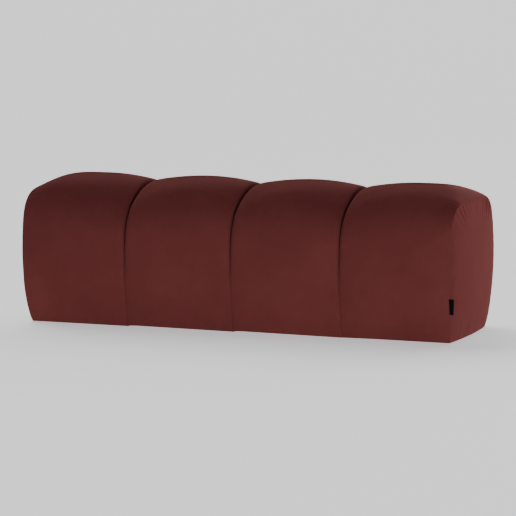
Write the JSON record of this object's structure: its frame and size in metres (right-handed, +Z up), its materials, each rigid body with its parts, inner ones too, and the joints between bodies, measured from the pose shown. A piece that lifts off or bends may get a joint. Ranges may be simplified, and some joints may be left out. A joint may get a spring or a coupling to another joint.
{
  "type": "upholstered bench",
  "caption": "Long upholstered bench: velvet over foam in padded bays with sewn grooves, on a hidden timber box frame with low glides.",
  "frame": {"origin": "on the floor, under the middle of the bench", "axes": "+X along the bench to the right as seen from the front, the front faces -Y, +Z up"},
  "size_m": [1.4, 0.5004, 0.4502],
  "materials": {
    "velvet": "short-pile cotton velvet",
    "foam": "cut polyurethane foam",
    "listing_tape": "folded cotton tape",
    "dust_cloth": "black non-woven lining",
    "label_tape": "black woven tape",
    "pine": "sawn pine",
    "plywood": "raw plywood",
    "hardboard": "smooth hardboard",
    "glide_plastic": "moulded black",
    "screw_steel": "zinc plated",
    "staple_steel": "galvanised wire"
  },
  "bodies": {
    "root": {"corner_block_front_left": "pine", "corner_block_front_right": "pine", "corner_block_rear_left": "pine", "corner_block_rear_right": "pine", "cover_panel_1": "velvet", "cover_panel_2": "velvet", "cover_panel_3": "velvet", "cover_panel_4": "velvet", "deck_screws": "screw_steel", "divider_1": "plywood", "divider_2": "plywood", "divider_3": "plywood", "dust_cover": "dust_cloth", "end_foam_left": "foam", "end_foam_right": "foam", "end_panel_left": "velvet", "end_panel_right": "velvet", "frame_screws": "screw_steel", "front_board": "hardboard", "front_bottom_rail": "pine", "front_foam_1": "foam", "front_foam_2": "foam", "front_foam_3": "foam", "front_foam_4": "foam", "front_top_rail": "pine", "glide_front_left": "glide_plastic", "glide_front_right": "glide_plastic", "glide_rear_left": "glide_plastic", "glide_rear_right": "glide_plastic", "glide_screws": "screw_steel", "hem_staples": "staple_steel", "left_board": "hardboard", "left_bottom_rail": "pine", "left_top_rail": "pine", "listing_strip_1": "listing_tape", "listing_strip_2": "listing_tape", "listing_strip_3": "listing_tape", "post_front_left": "pine", "post_front_right": "pine", "post_rear_left": "pine", "post_rear_right": "pine", "rear_board": "hardboard", "rear_bottom_rail": "pine", "rear_foam_1": "foam", "rear_foam_2": "foam", "rear_foam_3": "foam", "rear_foam_4": "foam", "rear_top_rail": "pine", "right_board": "hardboard", "right_bottom_rail": "pine", "right_top_rail": "pine", "seat_deck": "plywood", "seat_foam_1": "foam", "seat_foam_2": "foam", "seat_foam_3": "foam", "seat_foam_4": "foam", "side_label": "label_tape"}
  },
  "joints": []
}
